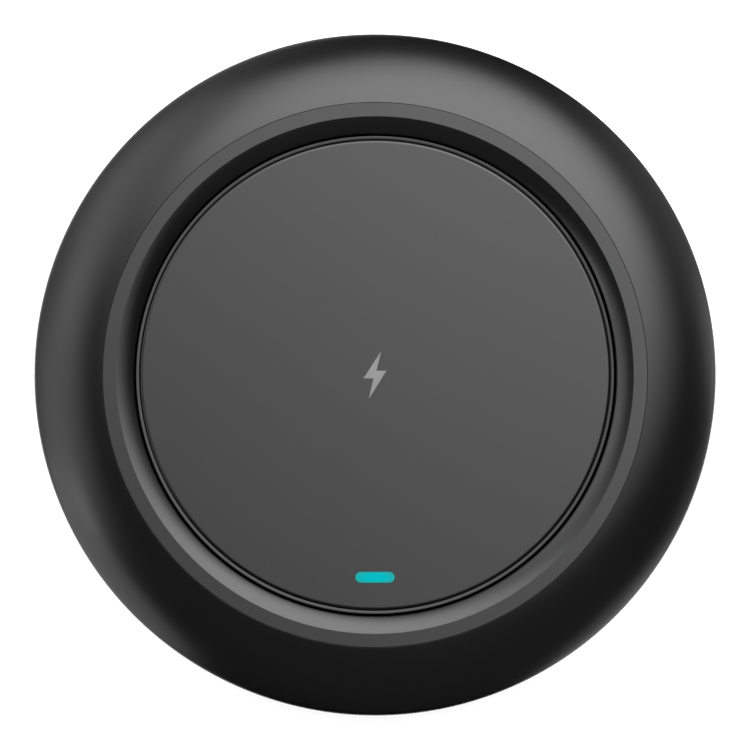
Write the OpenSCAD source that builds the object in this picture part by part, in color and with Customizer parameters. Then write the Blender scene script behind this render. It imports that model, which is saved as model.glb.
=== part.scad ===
// Round wireless charging pad: a domed case around a flat charging plate,
// with a USB-C inlet in its rear edge.
// The origin is on the table under the centre of the pad, +Z is up,
// +Y is the rear, where the inlet is, and -Y the front, where the lamp is.

/* [Case] */
// Diameter of the case at its widest
case_d = 100; // [98:1:104]
// Height of the flat land around the charging plate
land_z = 13.5; // [13.5:0.1:14.5]
// Wall of the domed shell
wall = 1.8; // [1.6:0.1:2]
// Width of the dome, from the seam to the widest point
dome_w = 10.1; // [9.9:0.1:10.4]
// Height of the widest point
side_z = 7; // [6.8:0.1:7.2]
// Slope of the dome where it meets the seam, in degrees
seam_tilt = 10; // [6:1:14]
// Radius of the side that curves in under the widest point
side_r = 8; // [7.5:0.1:9]

/* [Bezel] */
// Width of the flat land
land_w = 2.05; // [1.8:0.05:2.3]
// Width of the rounded slope inside the land
slope_w = 2.54; // [2.3:0.02:2.6]
// Slope of the surface just inside the land, in degrees
slope_start = 16; // [12:1:20]
// Slope of the surface at the well, in degrees
slope_end = 38; // [34:1:42]
// Gap around the pad's lip
well_gap = 0.36; // [0.15:0.01:0.4]

/* [Charging surface] */
// Depth of the charging plate below the land
pad_drop = 0.9; // [0.7:0.05:1]
// Depth of the tray's lip below the charging plate
lip_drop = 0.1; // [0.05:0.05:0.2]
// Width of the tray's lip around the plate
lip_w = 0.44; // [0.4:0.01:0.6]
// Thickness of the charging plate
plate_t = 1.2; // [1:0.1:1.4]
// Round on the plate's top edge
plate_round = 0.42; // [0.3:0.02:0.6]
// Height of the printed mark
mark_h = 7; // [5:0.5:9]

/* [Indicator lamp] */
// Length of the lamp window
lamp_w = 5.7; // [5:0.1:6.5]
// Width of the lamp window
lamp_d = 1.55; // [1.4:0.05:1.8]
// Distance of the lamp from the centre
lamp_y = 29.6; // [29.2:0.1:30]

/* [Coil] */
// Inside diameter of the winding
coil_id = 20.5; // [20:0.5:22]
// Turns in the winding
coil_turns = 10; // [8:1:10]
// Distance from one turn to the next
coil_pitch = 1.15; // [1.1:0.01:1.18]
// Thickness of the winding
coil_h = 1.2; // [1.1:0.05:1.25]
// Diameter of the ferrite disc
ferrite_d = 50; // [48:1:50]
// Thickness of the ferrite disc
ferrite_t = 1.2; // [1:0.1:1.2]

/* [Inlet] */
// Width of the flat boss around the inlet
inlet_w = 12.6; // [12:0.1:13]
// Height of the flat boss around the inlet
inlet_h = 6.2; // [5.6:0.1:6.2]

/* [Base] */
// Gap between the table and the base plate
base_z = 0.8; // [0.7:0.1:1]
// Thickness of the base plate
base_t = 1.6; // [1.5:0.1:1.8]
// Thickness of the rubber foot ring
foot_t = 1.4; // [1.3:0.1:1.5]
// Width of the rubber foot ring
foot_w = 5.4; // [5:0.1:5.4]

/* [Hidden] */

// Smoothness: of what is turned about the centre, and of small round features
$fn = 48;
round_fn = 180;
// Angle from point to point along an arc in a section
arc_step = 4.5;
// Overshoot of a cut through a face
eps = 0.5;

// Radii, from the outside in
case_r = case_d / 2;
seam_r = case_r - dome_w;
seam_gap = 0.07;
bezel_r = seam_r - seam_gap;
land_in_r = seam_r - land_w;
well_r = land_in_r - slope_w;
tray_r = well_r - well_gap;
recess_r = tray_r - lip_w;
plate_gap = 0.08;
plate_r = recess_r - plate_gap;

// Heights, from the top down
top_z = land_z - pad_drop;
lip_z = top_z - lip_drop;
plate_z = top_z - plate_t;
adhesive_t = 0.15;
adhesive_edge = 0.6;
tray_z = plate_z - adhesive_t;
tray_floor_t = 1;
tray_under = tray_z - tray_floor_t;
tape_t = 0.1;
mark_t = 0.1;
coil_top = tray_under - tape_t;
coil_z = coil_top - coil_h;
ferrite_z = coil_z - ferrite_t;
foam_t = 0.85;
board_top = ferrite_z - foam_t;
board_t = 1;
board_z = board_top - board_t;
base_top = base_z + base_t;

// The dome's section is two tangent arcs that meet at a slope of 45 degrees.
// Their radii are the ones that reach the seam at seam_tilt.
mid_a = 45;
dome_rise = land_z - side_z;
upper_dr = cos(mid_a) - sin(seam_tilt);
upper_dz = cos(seam_tilt) - sin(mid_a);
lower_dr = 1 - cos(mid_a);
lower_dz = sin(mid_a);
dome_det = upper_dr * lower_dz - lower_dr * upper_dz;
upper_r = (dome_w * lower_dz - lower_dr * dome_rise) / dome_det;
lower_r = (upper_dr * dome_rise - upper_dz * dome_w) / dome_det;
lower_c = [case_r - lower_r, side_z];
upper_c = lower_c + (lower_r - upper_r) * [cos(mid_a), sin(mid_a)];
seam_a = 90 - seam_tilt;
// Under the widest point one more arc curves in to the underside
side_c = [case_r - side_r, side_z];
under_a = -asin((side_z - base_z) / side_r);
// Direction in which the shelf meets the inside of the dome
shelf_a = 72;

// The shelf in the shell that carries the bezel's flange
flange_t = 1.2;
shelf_top = land_z - flange_t;
shelf_t = 1.2;
shelf_z = shelf_top - shelf_t;

// The bezel's body goes down through the shelf and snaps under it with a bead
body_r = land_in_r + 0.3;
snap_gap = 0.05;
shelf_in_r = body_r + snap_gap;
body_z = shelf_z - 0.7;
bead_w = 0.5;
bead_slope = 0.25;
slope_r = slope_w / (sin(slope_end) - sin(slope_start));
slope_c = [land_in_r + slope_r * sin(slope_start), land_z - slope_r * cos(slope_start)];

// The tray's collar and the flange that the base clamps under the bezel
collar_t = 1.45;
collar_in_r = tray_r - collar_t;
clamp_t = 1;
clamp_z = body_z - clamp_t;
clamp_r = tray_r + 2.85;
lip_foot = 0.6;

// The base plate drops into the rim of the shell, up against a ledge
rim_in_r = case_r - 5.3;
base_gap = 0.1;
base_r = rim_in_r - base_gap;
ledge_w = 0.8;
ledge_r = rim_in_r - ledge_w;
rim_top = base_top + 1;
rim_a = -asin((side_z - rim_top) / (side_r - wall));
foot_r = base_r - 0.5;
groove_gap = 0.05;
pillar_angles = [20, 160, 200, 340];
pillar_d = 3.6;
pillar_r = collar_in_r + 2.4;
support_r = 32.1;
support_t = 1;
support_top = board_z - 0.1;

// The lens has a flange at its foot that sits in a pocket of the tray
lens_flange = 0.6;
lens_seat = 0.5;
lens_gap = 0.1;
baffle_gap = 0.3;
baffle_wall = 1;

// M2 screws: in the bosses of the case and of the tray
screw_angles = [45, 135, 225, 315];
case_screw_r = case_r - 8.6;
board_screw_r = 29.5;
boss_d = 5;
boss_root = 0.2;
tray_boss_d = 4.4;
pad_d = 4.8;
pad_top = base_top + 1.6;
screw_d = 1.94;
thread_hole_d = 2;
clear_hole_d = 2.3;
head_d = 3.5;
head_t = 1.1;
head_hole_d = 3.8;
case_screw_l = 6.4;
case_seat_z = foot_t + head_t + 0.1;
case_thread = case_seat_z + case_screw_l - pad_top;
board_screw_l = 4;
hole_spare = 0.2;

// The board is a disc with a tongue at the rear for the inlet
board_r = 33;
tongue_half = 7.5;
tongue_end = case_r - 3;

// The inlet is a USB-C receptacle on the underside of the board
usb_w = 8.94;
usb_h = 3.26;
usb_l = 7.35;
usb_wall = 0.32;
usb_z = board_z - usb_h / 2;
inlet_y = case_r - 0.5;
shell_lip = 0.1;
usb_y = inlet_y - shell_lip - usb_l;
slot_gap = 0.2;
tongue_w = 6.65;
tongue_t = 0.7;
insulator_l = 2.4;
contact_pitch = 0.5;
contacts_per_row = 12;
contact_w = 0.26;
contact_t = 0.06;
contact_l = 3.6;

// The coil's tail wires run in a slot in the ferrite, then down to the board
coil_in_r = coil_id / 2;
coil_out_r = coil_in_r + coil_turns * coil_pitch;
wire_d = 1;
tail_x = 27;
tail_y = 4;
slot_w = 1.5;
window_r = 2.2;

/* ---- Shapes that repeat ---- */

// Points along an arc about a centre, from one direction to another
function arc(centre, r, a0, a1) =
    let (n = ceil(abs(a1 - a0) / arc_step))
    [for (i = [0 : n]) let (a = a0 + (a1 - a0) * i / n) centre + r * [cos(a), sin(a)]];

// Flat ring or disc standing on z
module ring(r_out, r_in, z, h) {
    difference() {
        translate([0, 0, z]) cylinder(h = h, r = r_out, $fn = round_fn);
        if (r_in > 0)
            translate([0, 0, z - eps]) cylinder(h = h + 2 * eps, r = r_in, $fn = round_fn);
    }
}

// Slot with round ends, w long and d wide
module stadium(w, d) {
    for (s = [-1, 1]) translate([s * (w - d) / 2, 0]) circle(d = d);
    square([w - d, d], center = true);
}

// A stadium of the lamp's kind, standing on z
module lamp_block(margin, z, h) {
    translate([0, -lamp_y, z])
        linear_extrude(h) stadium(lamp_w + 2 * margin, lamp_d + 2 * margin);
}

// The outline of the inlet, swept backwards from y
module inlet_block(w, d, y, l) {
    translate([0, y + l, usb_z])
        rotate([90, 0, 0]) linear_extrude(l) stadium(w, d);
}

// Copies of the children on a circle
module around(r, angles) {
    for (a = angles) rotate(a) translate([r, 0, 0]) children();
}

// Round post standing on z
module post(d, z, h) {
    translate([0, 0, z]) cylinder(h = h, d = d);
}

// Pan-head screw that points up, with its head under z
module screw(z, l) {
    cross_w = 0.5;
    cross_l = 2;
    cross_t = 0.6;
    difference() {
        union() {
            post(head_d, z - head_t, head_t);
            post(screw_d, z - 0.1, l + 0.1);
        }
        for (a = [0, 90])
            rotate(a)
                translate([0, 0, z - head_t])
                    cube([cross_l, cross_w, 2 * cross_t], center = true);
    }
}

// Component on the underside of the board, with its centre at x, y
module under_board(x, y, size) {
    translate([x - size[0] / 2, y - size[1] / 2, board_z - size[2]]) cube(size);
}

/* ---- Case ---- */

// The case's surface, or its parallel inset, from a low direction to a high one:
// the side that curves in below, then the dome's two arcs
function case_line(inset, low_a, high_a) = concat(
    arc(side_c, side_r - inset, low_a, -arc_step),
    arc(lower_c, lower_r - inset, 0, mid_a - arc_step),
    arc(upper_c, upper_r - inset, mid_a, high_a)
);

// Section of the case as if it were solid
module case_section() {
    polygon(concat(
        [[0, base_z]],
        case_line(0, under_a, seam_a),
        [[0, land_z]]
    ));
}

// Section of the space inside the shell: mouth and ledge for the base plate,
// the hollow, and the shelf and mouth for the bezel
module hollow_section() {
    polygon(concat(
        [
            [0, base_z - eps],
            [rim_in_r, base_z - eps],
            [rim_in_r, base_top],
            [ledge_r, base_top],
            [ledge_r, rim_top]
        ],
        case_line(wall, rim_a, shelf_a),
        [
            [shelf_in_r, shelf_z],
            [shelf_in_r, shelf_top],
            [seam_r, shelf_top],
            [seam_r, land_z + eps],
            [0, land_z + eps]
        ]
    ));
}

module outer_shell() {
    color([0.06, 0.06, 0.065])
    difference() {
        union() {
            difference() {
                union() {
                    rotate_extrude($fn = round_fn) case_section();
                    inlet_block(inlet_w, inlet_h, board_r, inlet_y - board_r);
                }
                rotate_extrude($fn = round_fn) hollow_section();
            }
            around(case_screw_r, screw_angles)
                post(boss_d, pad_top, shelf_z + boss_root - pad_top);
        }
        around(case_screw_r, screw_angles)
            post(thread_hole_d, pad_top - eps, case_thread + hole_spare + eps);
        inlet_block(usb_w + 2 * slot_gap, usb_h + 2 * slot_gap, usb_y, dome_w);
    }
}

// Section of the bezel: flange, rounded slope, body and snap bead
module bezel_section() {
    polygon(concat(
        [
            [bezel_r, shelf_top],
            [bezel_r, land_z]
        ],
        arc(slope_c, slope_r, 90 + slope_start, 90 + slope_end),
        [
            [well_r, body_z],
            [body_r, body_z],
            [body_r + bead_w, body_z + bead_slope],
            [body_r + bead_w, shelf_z - 3 * snap_gap],
            [body_r, shelf_z - snap_gap],
            [body_r, shelf_top]
        ]
    ));
}

module bezel_ring() {
    color([0.2, 0.2, 0.205])
    rotate_extrude($fn = round_fn) bezel_section();
}

module base_plate() {
    color([0.09, 0.09, 0.095])
    difference() {
        union() {
            ring(base_r, 0, base_z, base_t);
            ring(support_r + support_t / 2, support_r - support_t / 2, base_z,
                 support_top - base_z);
            around(case_screw_r, screw_angles) post(pad_d, base_z, pad_top - base_z);
            around(pillar_r, pillar_angles) post(pillar_d, base_z, clamp_z - base_z);
        }
        ring(foot_r + groove_gap, foot_r - foot_w - groove_gap, base_z - eps,
             foot_t - base_z + eps);
        around(case_screw_r, screw_angles) {
            post(head_hole_d, base_z, case_seat_z - base_z);
            post(clear_hole_d, base_z, pad_top - base_z + eps);
        }
    }
}

module foot_ring() {
    color([0.12, 0.12, 0.12])
    ring(foot_r, foot_r - foot_w, 0, foot_t);
}

module case_screws() {
    color("silver")
    around(case_screw_r, screw_angles) screw(case_seat_z, case_screw_l);
}

/* ---- Charging surface ---- */

// Section of the tray: floor, lip on a sloping foot, collar and clamped flange
module tray_section() {
    polygon([
        [0, tray_under],
        [collar_in_r, tray_under],
        [collar_in_r, clamp_z],
        [clamp_r, clamp_z],
        [clamp_r, body_z],
        [well_r, body_z],
        [tray_r, body_z + lip_foot],
        [tray_r, lip_z],
        [recess_r, lip_z],
        [recess_r, tray_z],
        [0, tray_z]
    ]);
}

module pad_tray() {
    color([0.13, 0.13, 0.135])
    difference() {
        union() {
            rotate_extrude($fn = round_fn) tray_section();
            around(board_screw_r, screw_angles)
                post(tray_boss_d, board_top, tray_under + 0.1 - board_top);
        }
        around(board_screw_r, screw_angles)
            post(thread_hole_d, board_top - eps, board_screw_l - board_t + hole_spare + eps);
        lamp_block(lens_gap, tray_under - eps, tray_floor_t + 2 * eps);
        lamp_block(lens_flange + lens_gap, tray_z - lens_seat, lens_seat + eps);
    }
}

// Section of the charging plate, with its top edge rounded
module plate_section() {
    polygon(concat(
        [[0, plate_z], [plate_r, plate_z]],
        arc([plate_r - plate_round, top_z - plate_round], plate_round, 0, 90),
        [[0, top_z]]
    ));
}

// Outline of a plain lightning bolt, one unit high
module bolt_outline() {
    polygon([
        [0.13, 0.5],
        [-0.24, -0.07],
        [-0.03, -0.07],
        [-0.13, -0.5],
        [0.24, 0.09],
        [0.03, 0.09]
    ]);
}

module charging_plate() {
    color([0.13, 0.13, 0.135])
    difference() {
        rotate_extrude($fn = round_fn) plate_section();
        lamp_block(lens_gap / 2, plate_z - eps, plate_t + 2 * eps);
        translate([0, 0, top_z - mark_t])
            linear_extrude(mark_t + eps) scale(mark_h) bolt_outline();
    }
}

module surface_mark() {
    color([0.4, 0.4, 0.4])
    translate([0, 0, top_z - mark_t])
        linear_extrude(mark_t) scale(mark_h) bolt_outline();
}

module plate_adhesive() {
    color([0.85, 0.85, 0.8])
    difference() {
        ring(plate_r - adhesive_edge, 0, tray_z, adhesive_t);
        lamp_block(lens_flange + 2 * lens_gap, tray_z - eps, adhesive_t + 2 * eps);
    }
}

module indicator_lens() {
    color([0.1, 0.75, 0.75])
    union() {
        lamp_block(0, tray_under, top_z - tray_under);
        lamp_block(lens_flange, tray_z - lens_seat, lens_seat + lens_gap);
    }
}

module light_baffle() {
    color([0.9, 0.9, 0.88])
    difference() {
        lamp_block(baffle_gap + baffle_wall, board_top, tray_under - board_top);
        lamp_block(baffle_gap, board_top - eps, tray_under - board_top + 2 * eps);
    }
}

/* ---- Coil ---- */

module coil_tape() {
    color([0.95, 0.9, 0.7])
    ring(coil_out_r, coil_in_r, coil_top, tape_t);
}

// The turns are bonded side by side into one flat ring
module coil_winding() {
    color([0.72, 0.38, 0.18])
    rotate_extrude($fn = round_fn)
        for (i = [0 : coil_turns - 1])
            translate([coil_in_r + coil_h / 2 + i * coil_pitch, coil_z + coil_h / 2])
                circle(d = coil_h);
}

// Wire through a list of points, with round joints
module wire(points, d) {
    for (i = [0 : len(points) - 2]) {
        run = points[i + 1] - points[i];
        translate(points[i])
            rotate([0, acos(run[2] / norm(run)), atan2(run[1], run[0])])
                cylinder(h = norm(run), d = d);
    }
    for (i = [1 : len(points) - 2]) translate(points[i]) sphere(d = d);
}

module coil_leads() {
    inner_x = coil_in_r - 0.75 * wire_d;
    middle_z = coil_z + coil_h / 2;
    slot_z = coil_z - 0.6 * wire_d;
    outer_x = sqrt(coil_out_r * coil_out_r - tail_y * tail_y) + 0.3;
    color([0.78, 0.45, 0.2]) {
        wire([
            [coil_in_r - 0.02, 0, middle_z],
            [inner_x, 0, middle_z],
            [inner_x, 0, slot_z],
            [tail_x, 0, slot_z],
            [tail_x, 0, board_top]
        ], wire_d);
        wire([
            [outer_x, tail_y, middle_z],
            [tail_x, tail_y, middle_z],
            [tail_x, tail_y, board_top]
        ], wire_d);
    }
}

module ferrite_disc() {
    color([0.25, 0.25, 0.27])
    difference() {
        ring(ferrite_d / 2, window_r, ferrite_z, ferrite_t);
        translate([coil_in_r - 1.5, -slot_w / 2, ferrite_z - eps])
            cube([ferrite_d, slot_w, ferrite_t + 2 * eps]);
    }
}

module foam_pad() {
    color([0.3, 0.3, 0.32])
    ring(ferrite_d / 2 - 1, window_r, board_top, foam_t);
}

module coil_thermistor() {
    bead_d = 2.4;
    leg_d = 0.5;
    bead_z = coil_top - bead_d / 2;
    color([0.1, 0.1, 0.12]) {
        translate([0, 0, bead_z]) sphere(d = bead_d);
        for (s = [-1, 1])
            translate([s * 0.6, 0, 0]) post(leg_d, board_top, bead_z - board_top);
    }
}

/* ---- Board ---- */

module circuit_board() {
    color([0.05, 0.3, 0.15])
    difference() {
        union() {
            ring(board_r, 0, board_z, board_t);
            translate([-tongue_half, 0, board_z])
                cube([2 * tongue_half, tongue_end, board_t]);
        }
        around(board_screw_r, screw_angles)
            post(clear_hole_d, board_z - eps, board_t + 2 * eps);
    }
}

module controller_chip() {
    color([0.08, 0.08, 0.09]) under_board(-9, 3, [7, 7, 0.9]);
}

module power_chip() {
    color([0.08, 0.08, 0.09]) under_board(-7.5, 24, [4, 4, 0.85]);
}

module bridge_mosfets() {
    color([0.1, 0.1, 0.11])
    for (y = [-5, 3]) under_board(10, y, [5, 6, 1]);
}

module resonance_capacitors() {
    color([0.62, 0.5, 0.36])
    for (i = [0 : 3]) under_board(20, -6.6 + 3.6 * i, [3.2, 2.5, 2]);
}

module input_capacitors() {
    color([0.6, 0.48, 0.34])
    for (i = [0 : 2]) under_board(11, 22 + 2.4 * i, [3.2, 1.6, 1.6]);
}

module power_inductor() {
    side = 6.6;
    corner = 1;
    inductor_h = 3;
    color([0.3, 0.3, 0.32])
    translate([1.5, 26, board_z - inductor_h])
        linear_extrude(inductor_h)
            union() {
                square([side, side - 2 * corner], center = true);
                square([side - 2 * corner, side], center = true);
                for (x = [-1, 1], y = [-1, 1])
                    translate([x, y] * (side / 2 - corner)) circle(corner);
            }
}

module crystal() {
    color("silver") under_board(-17.5, 3, [3.2, 2.5, 0.8]);
}

// Rows of small resistors and capacitors beside the controller
module small_passives() {
    chip = [1, 0.5, 0.45];
    color([0.7, 0.62, 0.5]) {
        for (i = [0 : 6]) under_board(-13.5 + 1.6 * i, 9.2, chip);
        for (i = [0 : 6]) under_board(-13.5 + 1.6 * i, -3.4, chip);
        for (i = [0 : 3]) under_board(-1.8, 1 + 1.3 * i, chip);
        for (i = [0 : 3]) under_board(-11.8, 22 + 1.3 * i, chip);
    }
}

module status_led() {
    led = [3.2, 1.6, 1.1];
    color([0.95, 0.95, 0.85])
    translate([-led[0] / 2, -lamp_y - led[1] / 2, board_top]) cube(led);
}

module board_screws() {
    color("silver")
    around(board_screw_r, screw_angles) screw(board_z, board_screw_l);
}

/* ---- Inlet ---- */

module usb_shell() {
    color("silver")
    difference() {
        inlet_block(usb_w, usb_h, usb_y, usb_l);
        inlet_block(usb_w - 2 * usb_wall, usb_h - 2 * usb_wall, usb_y - eps,
                    usb_l + 2 * eps);
    }
}

// Insulator that closes the rear of the shell and carries the contacts
module usb_tongue() {
    fit = 0.02;
    tongue_l = usb_l - 0.6;
    color([0.1, 0.1, 0.1]) {
        inlet_block(usb_w - 2 * usb_wall - 2 * fit, usb_h - 2 * usb_wall - 2 * fit,
                    usb_y, insulator_l);
        translate([-tongue_w / 2, usb_y, usb_z - tongue_t / 2])
            cube([tongue_w, tongue_l, tongue_t]);
    }
}

module usb_contacts() {
    first_x = -contact_pitch * (contacts_per_row - 1) / 2;
    color([0.85, 0.68, 0.3])
    for (side = [-1, 1], i = [0 : contacts_per_row - 1])
        translate([
            first_x + i * contact_pitch - contact_w / 2,
            usb_y + insulator_l,
            usb_z + side * (tongue_t + contact_t) / 2 - contact_t / 2
        ])
            cube([contact_w, contact_l, contact_t]);
}

outer_shell();
bezel_ring();
pad_tray();
charging_plate();
plate_adhesive();
surface_mark();
indicator_lens();
light_baffle();
coil_tape();
coil_winding();
coil_leads();
ferrite_disc();
foam_pad();
coil_thermistor();
circuit_board();
controller_chip();
power_chip();
bridge_mosfets();
resonance_capacitors();
input_capacitors();
power_inductor();
crystal();
small_passives();
status_led();
usb_shell();
usb_tongue();
usb_contacts();
board_screws();
base_plate();
case_screws();
foot_ring();
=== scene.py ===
"""Looks for a round wireless charging pad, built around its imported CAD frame.

Everything is in metres in the CAD frame: +Z up, +Y to the rear, where the
USB-C inlet is, and -Y to the front, where the status window is.
"""
import math

import bmesh
import bpy
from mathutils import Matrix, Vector

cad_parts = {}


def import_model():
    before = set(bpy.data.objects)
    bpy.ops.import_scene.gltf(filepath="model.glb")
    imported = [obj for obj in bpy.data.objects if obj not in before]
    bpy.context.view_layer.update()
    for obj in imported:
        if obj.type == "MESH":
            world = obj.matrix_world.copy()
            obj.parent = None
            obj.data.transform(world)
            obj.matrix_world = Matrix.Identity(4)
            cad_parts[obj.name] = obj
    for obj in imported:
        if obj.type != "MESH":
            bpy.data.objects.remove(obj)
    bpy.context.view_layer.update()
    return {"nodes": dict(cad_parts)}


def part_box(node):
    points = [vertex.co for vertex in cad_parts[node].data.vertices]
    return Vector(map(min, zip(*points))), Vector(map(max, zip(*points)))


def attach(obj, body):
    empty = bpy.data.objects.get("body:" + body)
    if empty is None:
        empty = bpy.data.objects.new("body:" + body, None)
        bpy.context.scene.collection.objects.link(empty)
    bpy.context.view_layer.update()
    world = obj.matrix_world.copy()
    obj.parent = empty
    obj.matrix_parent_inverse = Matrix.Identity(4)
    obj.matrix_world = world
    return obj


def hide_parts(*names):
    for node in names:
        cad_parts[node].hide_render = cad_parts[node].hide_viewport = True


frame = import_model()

MM = 0.001
SEGMENTS = 256
SMOOTH_ANGLE = math.radians(32)
CRISP_ANGLE = math.radians(40)
SAME_POINT = 0.0005 * MM

# ---- Sizes: the frame's boxes, and the few section sizes they don't give ----

case_lo, case_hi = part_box("outer_shell")
bezel_lo, bezel_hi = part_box("bezel_ring")
tray_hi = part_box("pad_tray")[1]
plate_lo, plate_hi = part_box("charging_plate")
base_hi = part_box("base_plate")[1]
foot_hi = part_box("foot_ring")[1]
lens_lo, lens_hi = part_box("indicator_lens")
usb_lo, usb_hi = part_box("usb_shell")
mark_lo, mark_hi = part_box("surface_mark")

CASE_R = case_hi.x
LAND_Z = case_hi.z
UNDER_Z = case_lo.z
TOP_Z = plate_hi.z
PLATE_R = plate_hi.x

# Sections of the case, the bezel and the tray, as the CAD model has them. Tilts are in degrees.
SIDE_Z = 7 * MM
SIDE_R = 8 * MM
WALL = 1.8 * MM
SEAM_TILT = 10
SEAM_GAP = 0.07 * MM
LIP_FOOT = 0.6 * MM
LAND_W = 2.05 * MM
SLOPE_W = 2.54 * MM
SLOPE_START = 16
SLOPE_END = 38
WELL_GAP = 0.36 * MM
LIP_W = 0.44 * MM
LIP_SLOPE = 0.018 * MM
SHELF_DROP = 1.2 * MM

BEZEL_R = bezel_hi.x
SEAM_R = BEZEL_R + SEAM_GAP
LAND_IN_R = SEAM_R - LAND_W
WELL_R = LAND_IN_R - SLOPE_W
TRAY_R = WELL_R - WELL_GAP
RECESS_R = TRAY_R - LIP_W

INLET_Z = (usb_lo.z + usb_hi.z) / 2
INLET_Y = CASE_R - 0.5 * MM


# ---- Outlines ----

def arc(centre, radius, start, end, step=2.5):
    """Points along an arc in a section, from one direction to another, in degrees."""
    count = max(1, math.ceil(abs(end - start) / step))
    angles = [math.radians(start + (end - start) * i / count) for i in range(count + 1)]
    return [(centre[0] + radius * math.cos(a), centre[1] + radius * math.sin(a)) for a in angles]


def sharp(*points):
    """Points that stay as they are in a rounded outline."""
    return [(p[0], p[1], 0) for p in points]


def rounded(corners):
    """A closed outline whose corners (x, y, radius) are rounded, with a point close by each round."""
    steps = 5
    hold = 0.06 * MM
    out = []
    count = len(corners)
    for i, (x, y, radius) in enumerate(corners):
        here = Vector((x, y))
        if radius == 0:
            out.append((x, y))
            continue
        before = Vector(corners[i - 1][:2]) - here
        after = Vector(corners[(i + 1) % count][:2]) - here
        half = before.angle(after) / 2
        cut = min(radius / math.tan(half), 0.45 * before.length, 0.45 * after.length)
        radius = cut * math.tan(half)
        middle = here + (before.normalized() + after.normalized()).normalized() * radius / math.sin(half)
        start = here + before.normalized() * cut
        end = here + after.normalized() * cut
        if before.length > 4 * (cut + hold):
            out.append(tuple(start + before.normalized() * hold))
        a0 = math.atan2(start.y - middle.y, start.x - middle.x)
        turn = math.atan2(end.y - middle.y, end.x - middle.x) - a0
        turn = (turn + math.pi) % (2 * math.pi) - math.pi
        for k in range(steps + 1):
            a = a0 + turn * k / steps
            out.append((middle.x + radius * math.cos(a), middle.y + radius * math.sin(a)))
        if after.length > 4 * (cut + hold):
            out.append(tuple(end + after.normalized() * hold))
    return out


def stadium(width, depth):
    """Points round a slot with round ends, anticlockwise."""
    round_steps = 12
    r = depth / 2
    flat = (width - depth) / 2
    points = []
    for side, start in ((1, -90), (-1, 90)):
        points += arc((side * flat, 0), r, start, start + 180, 180 / round_steps)
    return points


# ---- Meshes ----

def make(name, verts, faces):
    """A new object of these faces, with doubled points joined and all faces turned outwards."""
    mesh = bpy.data.meshes.new(name)
    mesh.from_pydata(verts, [], faces)
    bm = bmesh.new()
    bm.from_mesh(mesh)
    bmesh.ops.remove_doubles(bm, verts=bm.verts, dist=SAME_POINT)
    bmesh.ops.recalc_face_normals(bm, faces=bm.faces)
    bm.to_mesh(mesh)
    bm.free()
    obj = bpy.data.objects.new(name, mesh)
    bpy.context.scene.collection.objects.link(obj)
    shade(obj)
    return obj


def shade(obj):
    """Smooth shading, broken at crisp edges."""
    obj.data.polygons.foreach_set("use_smooth", [True] * len(obj.data.polygons))
    obj.data.set_sharp_from_angle(angle=SMOOTH_ANGLE)
    obj.data.update()


def bridge(rings, closed):
    """Vertices and quads of a skin over rings of equally many points."""
    n = len(rings[0])
    verts = [tuple(p) for ring in rings for p in ring]
    faces = []
    count = len(rings)
    for i in range(count if closed else count - 1):
        a, b = i * n, (i + 1) % count * n
        for k in range(n):
            j = (k + 1) % n
            faces.append((a + k, a + j, b + j, b + k))
    if not closed:
        faces.append(tuple(range(n))[::-1])
        faces.append(tuple((count - 1) * n + k for k in range(n)))
    return verts, faces


def lathe(name, outline):
    """Turns a section about the Z axis. Points on the axis close the ends."""
    tiny = 1e-9
    on_axis = [p for p in outline if abs(p[0]) < tiny]
    turn = [2 * math.pi * k / SEGMENTS for k in range(SEGMENTS)]
    rings = []
    for r, z in outline:
        r = max(r, tiny)
        rings.append([(r * math.cos(a), r * math.sin(a), z) for a in turn])
    verts, faces = bridge(rings, closed=not on_axis)
    if on_axis:
        faces = faces[:-2]
    return make(name, verts, faces)


def skin(name, rings):
    """A solid over a stack of rings, closed at both ends."""
    verts, faces = bridge(rings, closed=False)
    return make(name, verts, faces)


def boolean(obj, cutter, operation):
    """Cuts or joins another mesh into this one for good."""
    mod = obj.modifiers.new("cut", "BOOLEAN")
    mod.operation = operation
    mod.solver = "EXACT"
    mod.object = cutter
    dg = bpy.context.evaluated_depsgraph_get()
    mesh = bpy.data.meshes.new_from_object(obj.evaluated_get(dg))
    obj.modifiers.clear()
    old = obj.data
    obj.data = mesh
    bpy.data.meshes.remove(old)
    bpy.data.objects.remove(cutter)
    shade(obj)


def lying(width, depth, levels, centre_y):
    """Rings of a slot outline that stands on Z: levels are (margin, z)."""
    return [
        [(x, y + centre_y, z) for x, y in stadium(width + 2 * margin, depth + 2 * margin)]
        for margin, z in levels
    ]


def facing_rear(width, depth, levels, centre_z):
    """Rings of a slot outline that runs along Y: levels are (margin, y)."""
    return [
        [(x, y, z + centre_z) for x, z in stadium(width + 2 * margin, depth + 2 * margin)]
        for margin, y in levels
    ]


def piece(obj, slot, material, *nodes):
    """A finished piece: its body, the CAD nodes it stands for and its material. slot is not used."""
    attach(obj, "root")
    if nodes:
        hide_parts(*nodes)
    obj.data.materials.clear()
    obj.data.materials.append(material)
    return obj


# ---- Materials ----

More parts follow.
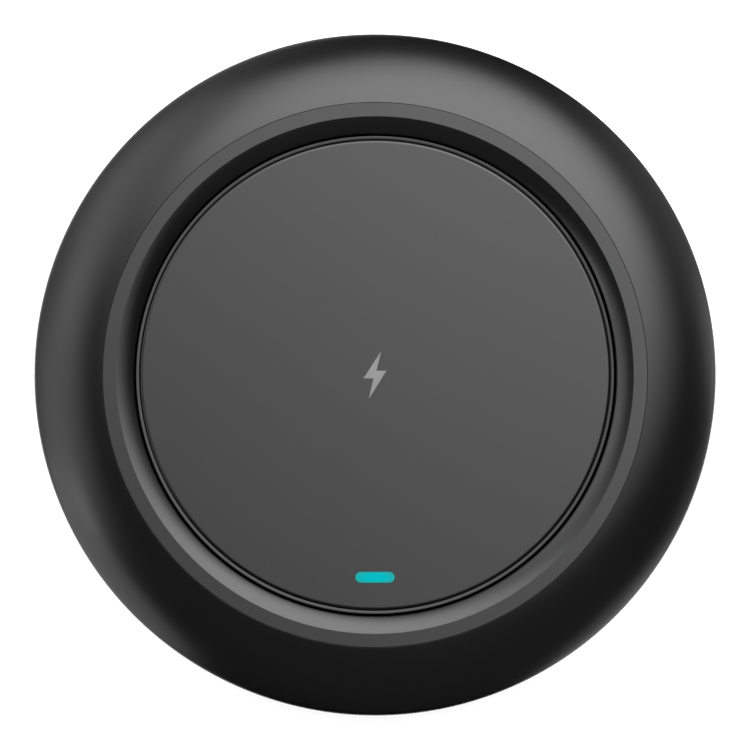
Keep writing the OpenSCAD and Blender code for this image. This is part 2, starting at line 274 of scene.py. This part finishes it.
class Nodes:
    """A material's node tree, written as a chain of short calls."""

    def __init__(self, name):
        self.material = bpy.data.materials.new(name)
        self.material.use_nodes = True
        self.tree = self.material.node_tree
        self.shader = self.tree.nodes["Principled BSDF"]
        self.coords = self.add("ShaderNodeTexCoord").outputs["Object"]

    def add(self, kind, **settings):
        node = self.tree.nodes.new(kind)
        for key, value in settings.items():
            setattr(node, key, value)
        return node

    def link(self, source, target):
        self.tree.links.new(source, target)

    def set(self, **values):
        for key, value in values.items():
            self.shader.inputs[key.replace("_", " ")].default_value = value

    def noise(self, scale, detail=3, roughness=0.5, coords=None):
        node = self.add("ShaderNodeTexNoise")
        node.inputs["Scale"].default_value = scale
        node.inputs["Detail"].default_value = detail
        node.inputs["Roughness"].default_value = roughness
        self.link(coords or self.coords, node.inputs["Vector"])
        return node.outputs["Fac"]

    def cells(self, scale):
        node = self.add("ShaderNodeTexVoronoi", feature="F1")
        node.inputs["Scale"].default_value = scale
        self.link(self.coords, node.inputs["Vector"])
        return node.outputs["Distance"]

    def span(self, value, low, high, start=0.0, end=1.0):
        """Maps a value from start..end to low..high."""
        node = self.add("ShaderNodeMapRange")
        node.inputs["From Min"].default_value = start
        node.inputs["From Max"].default_value = end
        node.inputs["To Min"].default_value = low
        node.inputs["To Max"].default_value = high
        self.link(value, node.inputs["Value"])
        return node.outputs["Result"]

    def ramp(self, value, *stops):
        node = self.add("ShaderNodeValToRGB")
        elements = node.color_ramp.elements
        while len(elements) < len(stops):
            elements.new(0.5)
        for element, (place, colour) in zip(elements, stops):
            element.position = place
            element.color = (*colour, 1)
        self.link(value, node.inputs["Fac"])
        return node.outputs["Color"]

    def bump(self, height, strength, distance):
        node = self.add("ShaderNodeBump")
        node.inputs["Strength"].default_value = strength
        node.inputs["Distance"].default_value = distance
        self.link(height, node.inputs["Height"])
        return node.outputs["Normal"]

    def out(self, socket, value):
        self.link(value, self.shader.inputs[socket])


# Two ends of most noise: what lies past them is all dark or all light
LOW, HIGH = 0.3, 0.7
FINE_BUMP = 0.004 * MM


def moulded(name, dark, light, rough, grain=0.15 * MM, depth=0.25, sheen=0.5, low_sheen=None):
    """Satin moulded plastic: a fine spark-eroded grain, faint flow marks and uneven gloss.

    With low_sheen, as on a soft-touch coat, the gloss falls off where the surface is seen at a slant.
    """
    n = Nodes(name)
    flow = n.noise(18, detail=4)
    fine = n.noise(1 / grain, detail=2, roughness=0.6)
    uneven = 0.008
    n.out("Base Color", n.ramp(flow, (LOW, dark), (HIGH, light)))
    n.out("Roughness", n.span(n.noise(140, detail=5), rough - uneven, rough + uneven, 0.25, 0.75))
    n.out("Normal", n.bump(fine, depth, FINE_BUMP))
    n.set(Specular_IOR_Level=sheen, IOR=1.5)
    if low_sheen is not None:
        slant = n.add("ShaderNodeLayerWeight").outputs["Facing"]
        n.out("Specular IOR Level", n.span(slant, sheen, low_sheen, 0.25, 0.75))
    return n.material


def rubber(name):
    """Dull black rubber with a fine grain."""
    n = Nodes(name)
    dark, light = (0.018, 0.018, 0.019), (0.032, 0.032, 0.033)
    fine = n.noise(5200, detail=3, roughness=0.7)
    n.out("Base Color", n.ramp(n.noise(60, detail=5), (LOW, dark), (HIGH, light)))
    n.out("Roughness", n.span(n.noise(400, detail=4), 0.72, 0.9, LOW, HIGH))
    n.out("Normal", n.bump(fine, 0.5, 0.02 * MM))
    n.set(Specular_IOR_Level=0.35)
    return n.material


def metal(name, dark, light, rough, scratch=(1, 1, 1)):
    """Plated or drawn metal, with scratches stretched along one axis."""
    n = Nodes(name)
    stretch = n.add("ShaderNodeMapping")
    stretch.inputs["Scale"].default_value = scratch
    n.link(n.coords, stretch.inputs["Vector"])
    lines = n.noise(2500, detail=4, roughness=0.7, coords=stretch.outputs["Vector"])
    n.out("Base Color", n.ramp(n.noise(300, detail=4), (LOW, dark), (HIGH, light)))
    n.out("Roughness", n.span(lines, rough - 0.06, rough + 0.1, LOW, HIGH))
    n.out("Normal", n.bump(lines, 0.15, FINE_BUMP))
    n.set(Metallic=1.0)
    return n.material


def speckled(name, dark, light, rough, scale, depth, distance):
    """Ceramic, ferrite, epoxy or paper: small grains of two tones."""
    n = Nodes(name)
    grains = n.noise(scale, detail=6, roughness=0.7)
    n.out("Base Color", n.ramp(grains, (0.35, dark), (0.65, light)))
    uneven = 0.08
    n.out("Roughness", n.span(n.noise(scale / 4, detail=3), rough - uneven, rough + uneven, LOW, HIGH))
    n.out("Normal", n.bump(grains, depth, distance))
    return n.material


def foam(name):
    """Dark foam with small open cells."""
    n = Nodes(name)
    cell = n.cells(2200)
    n.out("Base Color", n.ramp(cell, (0.1, (0.02, 0.02, 0.022)), (HIGH, (0.07, 0.07, 0.075))))
    n.out("Roughness", n.span(n.noise(900), 0.85, 1.0, LOW, HIGH))
    n.out("Normal", n.bump(cell, 0.8, 0.12 * MM))
    return n.material


def laminate(name):
    """Green solder mask over glass weave, with copper traces that show through."""
    n = Nodes(name)
    weave = n.add("ShaderNodeTexWave", wave_type="BANDS", bands_direction="DIAGONAL")
    weave.inputs["Scale"].default_value = 900
    weave.inputs["Distortion"].default_value = 1.5
    n.link(n.coords, weave.inputs["Vector"])
    trace = n.add("ShaderNodeTexBrick")
    trace.inputs["Scale"].default_value = 420
    trace.inputs["Mortar Size"].default_value = 0.035
    trace.inputs["Color1"].default_value = (0.012, 0.12, 0.045, 1)
    trace.inputs["Color2"].default_value = (0.01, 0.1, 0.04, 1)
    trace.inputs["Mortar"].default_value = (0.03, 0.24, 0.09, 1)
    n.link(n.coords, trace.inputs["Vector"])
    n.out("Base Color", trace.outputs["Color"])
    n.out("Roughness", n.span(n.noise(700, detail=4), 0.25, 0.4, LOW, HIGH))
    n.out("Normal", n.bump(weave.outputs["Fac"], 0.12, 0.01 * MM))
    return n.material


def litz(name):
    """Bundle of enamelled copper strands, twisted."""
    n = Nodes(name)
    twist = n.add("ShaderNodeTexWave", wave_type="BANDS", bands_direction="DIAGONAL")
    twist.inputs["Scale"].default_value = 1300
    twist.inputs["Distortion"].default_value = 2
    twist.inputs["Detail Scale"].default_value = 3
    n.link(n.coords, twist.inputs["Vector"])
    strands = twist.outputs["Fac"]
    n.out("Base Color", n.ramp(strands, (0.0, (0.3, 0.09, 0.03)), (1.0, (0.75, 0.3, 0.12))))
    n.out("Roughness", n.span(n.noise(900, detail=3), 0.25, 0.42, LOW, HIGH))
    n.out("Normal", n.bump(strands, 0.6, 0.06 * MM))
    n.set(Metallic=0.85)
    return n.material


def lamp_plastic(name, centre, half_w, half_d):
    """Clear cyan light pipe, lit from below: evenly bright, and a shade dimmer at its rim."""
    n = Nodes(name)
    place = n.add("ShaderNodeMapping", vector_type="POINT")
    place.inputs["Location"].default_value = (0, -centre / half_d, 0)
    place.inputs["Scale"].default_value = (1 / half_w, 1 / half_d, 0)
    n.link(n.coords, place.inputs["Vector"])
    reach = n.add("ShaderNodeVectorMath", operation="LENGTH")
    n.link(place.outputs["Vector"], reach.inputs[0])
    middle, inside, rim = (0.0, 0.48, 0.54), (0.0, 0.46, 0.5), (0.02, 0.37, 0.36)
    n.out("Emission Color", n.ramp(reach.outputs["Value"], (0.0, middle), (0.65, inside), (1.0, rim)))
    n.out("Base Color", n.ramp(n.noise(600), (LOW, (0.0, 0.02, 0.022)), (HIGH, (0.0, 0.03, 0.033))))
    n.out("Roughness", n.span(n.noise(800), 0.3, 0.4, LOW, HIGH))
    n.set(Emission_Strength=1.0, Specular_IOR_Level=0.02)
    return n.material


SHELL_BLACK = (0.005, 0.005, 0.0052), (0.0063, 0.0063, 0.0065)
TOP_BLACK = (0.0042, 0.0042, 0.0044), (0.0055, 0.0055, 0.0057)
PLATE_BLACK = (0.0052, 0.0052, 0.0054), (0.0065, 0.0065, 0.0067)
BASE_BLACK = (0.006, 0.006, 0.0063), (0.009, 0.009, 0.0093)
PIN_BLACK = (0.006, 0.006, 0.006), (0.01, 0.01, 0.01)
CHIP_BLACK = (0.01, 0.01, 0.011), (0.022, 0.022, 0.024)
FERRITE_GREY = (0.02, 0.02, 0.022), (0.06, 0.06, 0.065)
INK_GREY = (0.17, 0.17, 0.17), (0.2, 0.2, 0.2)
STEEL_GREY = (0.5, 0.5, 0.51), (0.66, 0.66, 0.66)
TIN_GREY = (0.6, 0.6, 0.58), (0.72, 0.72, 0.7)
GOLD = (0.75, 0.5, 0.16), (0.9, 0.66, 0.26)
CERAMIC_TAN = (0.3, 0.19, 0.1), (0.46, 0.33, 0.2)
OFF_WHITE = (0.7, 0.7, 0.68), (0.82, 0.82, 0.8)
TAPE_CREAM = (0.7, 0.66, 0.55), (0.85, 0.82, 0.72)
SATIN = 0.25
TOP_COAT = {"sheen": 0.555, "low_sheen": 0.02}
MAT = {
    "case": moulded("case_satin_black", *SHELL_BLACK, SATIN),
    "bezel": moulded("bezel_satin_black", *TOP_BLACK, SATIN, **TOP_COAT),
    "tray": moulded("tray_satin_black", *TOP_BLACK, SATIN, **TOP_COAT),
    "plate": moulded("plate_satin_black", *PLATE_BLACK, SATIN, grain=0.12 * MM, **TOP_COAT),
    "base": moulded("base_matt_black", *BASE_BLACK, 0.5, grain=0.25 * MM, depth=0.6),
    "mark": speckled("mark_grey_ink", *INK_GREY, 0.5, 4000, 0.2, 0.01 * MM),
    "rubber": rubber("foot_rubber"),
    "steel": metal("stamped_steel", *STEEL_GREY, 0.28, scratch=(1, 0.06, 1)),
    "tin": metal("tin_plate", *TIN_GREY, 0.35),
    "gold": metal("gold_contact", *GOLD, 0.2),
    "insulator": moulded("black_insulator", *PIN_BLACK, 0.5),
    "epoxy": speckled("black_epoxy", *CHIP_BLACK, 0.55, 3500, 0.3, 0.02 * MM),
    "ceramic": speckled("capacitor_ceramic", *CERAMIC_TAN, 0.4, 2500, 0.2, 0.01 * MM),
    "ferrite": speckled("ferrite", *FERRITE_GREY, 0.6, 1800, 0.4, 0.03 * MM),
    "white": speckled("white_plastic", *OFF_WHITE, 0.5, 1500, 0.15, 0.01 * MM),
    "adhesive": speckled("adhesive_tape", *TAPE_CREAM, 0.75, 1200, 0.3, 0.02 * MM),
    "foam": foam("cell_foam"),
    "board": laminate("board_laminate"),
    "litz": litz("litz_copper"),
}


# ---- Case ----

def case_arcs(inset, low, high):
    """The case's surface from the underside up over the dome: three tangent arcs, moved in by inset.

    low and high are where it starts and ends, in degrees. The dome's two arcs meet at 45 degrees.
    """
    s = math.sin(math.radians(45))
    tilt = math.radians(SEAM_TILT)
    width, rise = CASE_R - SEAM_R, LAND_Z - SIDE_Z
    upper_dr, upper_dz = s - math.sin(tilt), math.cos(tilt) - s
    det = upper_dr * s - (1 - s) * upper_dz
    upper = (width * s - (1 - s) * rise) / det
    lower = (upper_dr * rise - upper_dz * width) / det
    lower_c = (CASE_R - lower, SIDE_Z)
    upper_c = (lower_c[0] - (upper - lower) * s, lower_c[1] - (upper - lower) * s)
    side_c = (CASE_R - SIDE_R, SIDE_Z)
    return (
        arc(side_c, SIDE_R - inset, low, 0)[:-1]
        + arc(lower_c, lower - inset, 0, 45, 4)[:-1]
        + arc(upper_c, upper - inset, 45, high, 1.5)
    )


def outer_shell():
    """The domed ring, with the shelf that the bezel sits on and the ledge over the base."""
    base_gap, base_t = 0.1 * MM, 1.6 * MM
    ledge_w, ledge_t = 0.8 * MM, 1 * MM
    shelf_gap = 0.35 * MM
    inside_top = 72
    rim_in_r = base_hi.x + base_gap
    ledge_r = rim_in_r - ledge_w
    ledge_z = UNDER_Z + base_t
    rim_top = ledge_z + ledge_t
    shelf_top = LAND_Z - SHELF_DROP
    shelf_in_r = LAND_IN_R + shelf_gap
    under = math.degrees(-math.asin((SIDE_Z - UNDER_Z) / SIDE_R))
    inner_low = math.degrees(-math.asin((SIDE_Z - rim_top) / (SIDE_R - WALL)))
    outside = case_arcs(0, under, 90 - SEAM_TILT)
    inside = case_arcs(WALL, inner_low, inside_top)
    corners = (
        [(rim_in_r, UNDER_Z, 0.15 * MM), (*outside[0], 0.35 * MM)]
        + sharp(*outside[2:-1])
        + [
            (SEAM_R, LAND_Z, 0.02 * MM),
            (SEAM_R, shelf_top, 0.05 * MM),
            (shelf_in_r, shelf_top, 0.1 * MM),
            (shelf_in_r, shelf_top - SHELF_DROP, 0.1 * MM),
        ]
        + sharp(*reversed(inside))
        + [(ledge_r, rim_top, 0), (ledge_r, ledge_z, 0), (rim_in_r, ledge_z, 0)]
    )
    return lathe("outer_shell_skin", rounded(corners))


def inlet_boss(shell):
    """The flat boss around the inlet under the widest point, and the slot through it."""
    width, depth, round_r = 12.6 * MM, 6.2 * MM, 0.5 * MM
    root_y = CASE_R - 3.4 * MM
    edge = [(x - round_r, INLET_Y - round_r + y) for x, y in arc((0, 0), round_r, 0, 90, 15)]
    boss = skin("boss", facing_rear(width, depth, [(0, root_y)] + edge, INLET_Z))
    boolean(shell, boss, "UNION")
    spare = 0.4 * MM
    flare = 0.25 * MM
    slot_w = usb_hi.x - usb_lo.x + spare
    slot_d = usb_hi.z - usb_lo.z + spare
    levels = [
        (0, usb_lo.y),
        (0, INLET_Y - flare),
        (flare * 0.3, INLET_Y - flare * 0.3),
        (flare, INLET_Y),
        (flare * 2, INLET_Y + flare),
    ]
    boolean(shell, skin("slot", facing_rear(slot_w, slot_d, levels, INLET_Z)), "DIFFERENCE")


def bezel_ring():
    """The flat land and the rounded slope inside it, on a sleeve with a snap bead."""
    sleeve_w, bead_w, bead_slope = 0.3 * MM, 0.5 * MM, 0.25 * MM
    radius = SLOPE_W / (math.sin(math.radians(SLOPE_END)) - math.sin(math.radians(SLOPE_START)))
    centre = (
        LAND_IN_R + radius * math.sin(math.radians(SLOPE_START)),
        LAND_Z - radius * math.cos(math.radians(SLOPE_START)),
    )
    slope = arc(centre, radius, 90 + SLOPE_START, 90 + SLOPE_END)
    body_r = LAND_IN_R + sleeve_w
    shelf_top = LAND_Z - SHELF_DROP
    shelf_z = shelf_top - SHELF_DROP
    bead_r = body_r + bead_w
    low = bezel_lo.z
    corners = (
        [
            (BEZEL_R, shelf_top, 0.05 * MM),
            (BEZEL_R, LAND_Z, 0.02 * MM),
            (LAND_IN_R, LAND_Z, 0.035 * MM),
        ]
        + sharp(*slope[1:-1])
        + [
            (*slope[-1], 0.08 * MM),
            (WELL_R, low, 0.1 * MM),
            (body_r, low, 0.1 * MM),
            (bead_r, low + bead_slope, 0.1 * MM),
            (bead_r, shelf_z - 0.15 * MM, 0.1 * MM),
            (body_r, shelf_z - 0.05 * MM, 0),
            (body_r, shelf_top, 0),
        ]
    )
    return lathe("bezel_ring_skin", rounded(corners))


# ---- Charging surface ----

def charging_plate():
    """The round plate, with a hole for the lamp and a shallow recess for the printed mark."""
    edge_r = 0.42 * MM
    hold = 0.1 * MM
    past = 1 * MM
    edge = arc((PLATE_R - edge_r, TOP_Z - edge_r), edge_r, 0, 90, 12)
    corners = (
        [(0, plate_lo.z, 0), (PLATE_R, plate_lo.z, 0.1 * MM)]
        + sharp(*edge)
        + [(PLATE_R - edge_r - hold, TOP_Z, 0), (0, TOP_Z, 0)]
    )
    plate = lathe("charging_plate_skin", rounded(corners))
    boolean(plate, skin("window", lying(LAMP_W, LAMP_D, window_levels(), LAMP_Y)), "DIFFERENCE")
    recess = [[(x * MARK_H, y * MARK_H, z) for x, y in BOLT] for z in (mark_lo.z, TOP_Z + past)]
    boolean(plate, skin("recess", recess), "DIFFERENCE")
    return plate


# The printed lightning bolt, one unit high
BOLT = [(0.13, 0.5), (-0.24, -0.07), (-0.03, -0.07), (-0.13, -0.5), (0.24, 0.09), (0.03, 0.09)]
MARK_H = mark_hi.y - mark_lo.y

FLANGE = 0.6 * MM
LAMP_Y = (lens_lo.y + lens_hi.y) / 2
LAMP_W = lens_hi.x - lens_lo.x - 2 * FLANGE
LAMP_D = lens_hi.y - lens_lo.y - 2 * FLANGE


def window_levels():
    """The hole for the lamp: a hair wider than the lamp, with a small flare at the top."""
    gap, flare, past = 0.04 * MM, 0.05 * MM, 1 * MM
    return [
        (gap, plate_lo.z - past),
        (gap, TOP_Z - flare),
        (gap + flare, TOP_Z),
        (gap + 2 * flare, TOP_Z + flare),
    ]


def indicator_lens():
    """The lamp's light pipe, with the flange that holds it under the plate."""
    top_round = 0.12 * MM
    under_plate = 0.05 * MM
    neck = arc((-top_round, TOP_Z - top_round), top_round, 0, 90, 15)
    flange_z = plate_lo.z - under_plate
    levels = [
        (0, lens_lo.z),
        (0, flange_z - FLANGE),
        (FLANGE, flange_z - FLANGE),
        (FLANGE, flange_z),
        (0, flange_z),
    ] + neck
    return skin("indicator_lens_body", lying(LAMP_W, LAMP_D, levels, LAMP_Y))


def tray_lip():
    """The tray: floor, thin rounded lip, collar and the flange that the base clamps."""
    adhesive_t, floor_t, collar_t, clamp_t = 0.15 * MM, 1 * MM, 1.45 * MM, 1 * MM
    hole_spare = 0.2 * MM
    floor_top = plate_lo.z - adhesive_t
    floor_low = floor_top - floor_t
    collar_r = TRAY_R - collar_t
    clamp_r = tray_hi.x
    clamp_top = bezel_lo.z
    clamp_low = clamp_top - clamp_t
    lip = tray_hi.z
    corners = [
        (0, floor_low, 0),
        (collar_r, floor_low, 0.2 * MM),
        (collar_r, clamp_low, 0.1 * MM),
        (clamp_r, clamp_low, 0.15 * MM),
        (clamp_r, clamp_top, 0.15 * MM),
        (WELL_R, clamp_top, 0),
        (TRAY_R, clamp_top + LIP_FOOT, 0.1 * MM),
        (TRAY_R, lip, 0.03 * MM),
        (RECESS_R, lip - LIP_SLOPE, 0.06 * MM),
        (RECESS_R, floor_top, 0.05 * MM),
        (0, floor_top, 0),
    ]
    tray = lathe("pad_tray_skin", rounded(corners))
    levels = [(0, floor_low - MM), (0, floor_top + MM)]
    hole = lying(LAMP_W + hole_spare, LAMP_D + hole_spare, levels, LAMP_Y)
    boolean(tray, skin("hole", hole), "DIFFERENCE")
    return tray


# ---- Underside ----

def foot_ring():
    """Rubber ring with three soft grooves in its tread."""
    width = 5.4 * MM
    grooves = 3
    deep = 0.25 * MM
    side = 0.15 * MM
    out_r, in_r = foot_hi.x, foot_hi.x - width
    rib = width / (2 * grooves + 1)
    corners = [(in_r, foot_hi.z, 0.1 * MM), (in_r, 0, 0.3 * MM)]
    for k in range(grooves):
        start = in_r + rib * (2 * k + 1)
        corners += [
            (start, 0, side),
            (start + side, deep, side),
            (start + rib - side, deep, side),
            (start + rib, 0, side),
        ]
    corners += [(out_r, 0, 0.3 * MM), (out_r, foot_hi.z, 0.1 * MM)]
    return lathe("foot_ring_skin", rounded(corners))


shell = outer_shell()
inlet_boss(shell)
piece(shell, "case_plastic", MAT["case"], "outer_shell")
piece(bezel_ring(), "bezel_plastic", MAT["bezel"], "bezel_ring")
piece(charging_plate(), "plate_plastic", MAT["plate"], "charging_plate")
piece(indicator_lens(), "lens_plastic",
      lamp_plastic("lamp_cyan", LAMP_Y, LAMP_W / 2, LAMP_D / 2), "indicator_lens")
piece(tray_lip(), "tray_plastic", MAT["tray"], "pad_tray")
piece(foot_ring(), "foot_rubber", MAT["rubber"], "foot_ring")


# ---- CAD nodes that stay, with better materials ----

NODE_MATERIALS = {
    "base_plate": "base",
    "surface_mark": "mark",
    "plate_adhesive": "adhesive",
    "light_baffle": "white",
    "coil_tape": "adhesive",
    "coil_winding": "litz",
    "coil_leads": "litz",
    "ferrite_disc": "ferrite",
    "foam_pad": "foam",
    "coil_thermistor": "epoxy",
    "circuit_board": "board",
    "controller_chip": "epoxy",
    "power_chip": "epoxy",
    "bridge_mosfets": "epoxy",
    "resonance_capacitors": "ceramic",
    "input_capacitors": "ceramic",
    "power_inductor": "ferrite",
    "crystal": "tin",
    "small_passives": "ceramic",
    "status_led": "white",
    "usb_shell": "steel",
    "usb_tongue": "insulator",
    "usb_contacts": "gold",
    "board_screws": "steel",
    "case_screws": "steel",
}
# Round on the edges of the nodes that have crisp ones, in mm
EDGES = {
    "base_plate": 0.15,
    "light_baffle": 0.1,
    "ferrite_disc": 0.12,
    "foam_pad": 0.15,
    "circuit_board": 0.04,
    "controller_chip": 0.06,
    "power_chip": 0.06,
    "bridge_mosfets": 0.08,
    "resonance_capacitors": 0.15,
    "input_capacitors": 0.12,
    "power_inductor": 0.25,
    "crystal": 0.12,
    "small_passives": 0.05,
    "status_led": 0.06,
    "usb_shell": 0.05,
    "usb_tongue": 0.06,
    "usb_contacts": 0.015,
    "board_screws": 0.08,
    "case_screws": 0.08,
}


def soften(obj, width):
    """Joins the faces of a CAD mesh and rounds its crisp edges."""
    weld = obj.modifiers.new("weld", "WELD")
    weld.merge_threshold = 2 * SAME_POINT
    bevel = obj.modifiers.new("round", "BEVEL")
    bevel.width = width * MM
    bevel.segments = 3
    bevel.limit_method = "ANGLE"
    bevel.angle_limit = CRISP_ANGLE
    bevel.use_clamp_overlap = True
    bevel.harden_normals = True


for node, key in NODE_MATERIALS.items():
    obj = frame["nodes"][node]
    for spot in obj.material_slots:
        spot.material = MAT[key]
    if node in EDGES:
        soften(obj, EDGES[node])


# ---- Stage: light tent, floor and camera ----

def direction(azimuth, polar):
    """Azimuth anticlockwise from +X as seen from above, polar down from straight up, in degrees."""
    a, p = math.radians(azimuth), math.radians(polar)
    return Vector((math.sin(p) * math.cos(a), math.sin(p) * math.sin(a), math.cos(p)))


# Softboxes in the tent: azimuth, polar angle, half width of the full core, of the edge, strength
SOFTBOXES = {
    "key_rear": (85, 42, 20, 35, 0.6),
    "key_middle": (70, 38, 15, 40, 2.6),
    "key_spread": (60, 30, 0, 50, 2.0),
    "left_edge": (215, 90, 18, 24, 1.15),
    "left_middle": (185, 65, 0, 30, 1.05),
    "left_rear": (140, 58, 0, 35, 1.3),
    "left_front": (204, 69, 2, 8, 1.6),
    "left_low": (165, 118, 48, 78, 0.65),
    "right_low": (335, 118, 30, 36, 0.55),
    "right_front": (315, 100, 12, 20, 1.1),
    "right_strip": (24, 100, 0, 40, 0.65),
    "right_spot": (6, 94, 6, 15, 0.9),
    "rear_spot": (110, 60, 6, 12, 0.8),
    "top_spot": (0, 6, 6, 12, 0.5),
    "front_fill": (280, 60, 5, 50, 0.1),
    "table_glow": (265, 175, 35, 40, 2.5),
}
TENT_R = 0.5


def light_tent():
    """A sphere around the object that glows softly where the softboxes are, unseen by the camera."""
    mesh = bpy.data.meshes.new("light_tent")
    bm = bmesh.new()
    bmesh.ops.create_uvsphere(bm, u_segments=64, v_segments=32, radius=TENT_R)
    bm.to_mesh(mesh)
    bm.free()
    tent = bpy.data.objects.new("light_tent", mesh)
    bpy.context.scene.collection.objects.link(tent)
    material = bpy.data.materials.new("softboxes")
    material.use_nodes = True
    tree = material.node_tree
    tree.nodes.clear()
    output = tree.nodes.new("ShaderNodeOutputMaterial")
    emission = tree.nodes.new("ShaderNodeEmission")
    coords = tree.nodes.new("ShaderNodeTexCoord")
    unit = tree.nodes.new("ShaderNodeVectorMath")
    unit.operation = "NORMALIZE"
    tree.links.new(coords.outputs["Object"], unit.inputs[0])
    total = None
    for azimuth, polar, core, edge, strength in SOFTBOXES.values():
        dot = tree.nodes.new("ShaderNodeVectorMath")
        dot.operation = "DOT_PRODUCT"
        dot.inputs[1].default_value = direction(azimuth, polar)
        tree.links.new(unit.outputs["Vector"], dot.inputs[0])
        fade = tree.nodes.new("ShaderNodeMapRange")
        fade.interpolation_type = "SMOOTHSTEP"
        fade.inputs["From Min"].default_value = math.cos(math.radians(edge))
        fade.inputs["From Max"].default_value = math.cos(math.radians(core))
        fade.inputs["To Max"].default_value = strength
        tree.links.new(dot.outputs["Value"], fade.inputs["Value"])
        if total is None:
            total = fade.outputs["Result"]
        else:
            add = tree.nodes.new("ShaderNodeMath")
            tree.links.new(total, add.inputs[0])
            tree.links.new(fade.outputs["Result"], add.inputs[1])
            total = add.outputs["Value"]
    tree.links.new(total, emission.inputs["Strength"])
    tree.links.new(emission.outputs["Emission"], output.inputs["Surface"])
    tent.data.materials.append(material)
    tent.visible_camera = False
    tent.visible_shadow = False


def floor():
    """Pale floor. It takes a soft contact shadow, and is clear from below."""
    half = 4.0
    pale, glow = 0.6, 0.85
    corners = [(-half, -half, 0), (half, -half, 0), (half, half, 0), (-half, half, 0)]
    mesh = bpy.data.meshes.new("floor")
    mesh.from_pydata(corners, [], [(0, 1, 2, 3)])
    obj = bpy.data.objects.new("floor", mesh)
    bpy.context.scene.collection.objects.link(obj)
    material = bpy.data.materials.new("pale_floor")
    material.use_nodes = True
    tree = material.node_tree
    shader = tree.nodes["Principled BSDF"]
    shader.inputs["Base Color"].default_value = (pale, pale, pale, 1)
    shader.inputs["Roughness"].default_value = 1
    shader.inputs["Specular IOR Level"].default_value = 0
    shader.inputs["Emission Color"].default_value = (1, 1, 1, 1)
    shader.inputs["Emission Strength"].default_value = glow
    clear = tree.nodes.new("ShaderNodeBsdfTransparent")
    side = tree.nodes.new("ShaderNodeNewGeometry")
    mix = tree.nodes.new("ShaderNodeMixShader")
    tree.links.new(side.outputs["Backfacing"], mix.inputs["Fac"])
    tree.links.new(shader.outputs["BSDF"], mix.inputs[1])
    tree.links.new(clear.outputs["BSDF"], mix.inputs[2])
    tree.links.new(mix.outputs["Shader"], tree.nodes["Material Output"].inputs["Surface"])
    obj.data.materials.append(material)
    obj.visible_diffuse = False
    obj.visible_glossy = False
    obj.visible_transmission = False
    obj.visible_shadow = False


def world():
    """Plain white behind the object, which also fills in the light."""
    bpy.context.scene.world = bpy.data.worlds.new("world")
    tree = bpy.context.scene.world
    tree.use_nodes = True
    tree.node_tree.nodes["Background"].inputs["Color"].default_value = (1, 1, 1, 1)
    tree.node_tree.nodes["Background"].inputs["Strength"].default_value = 1.0


def camera():
    """Straight above the pad, far off, with the case filling most of the frame."""
    height = 2.5
    fill = 0.9093
    sensor = 36
    data = bpy.data.cameras.new("camera")
    obj = bpy.data.objects.new("camera", data)
    bpy.context.scene.collection.objects.link(obj)
    obj.location = (0, 0, height)
    data.sensor_width = sensor
    data.lens = sensor / 2 * fill * (height - SIDE_Z) / CASE_R
    data.clip_end = 20
    bpy.context.scene.camera = obj


light_tent()
floor()
world()
camera()
bpy.context.scene.view_settings.view_transform = "Standard"
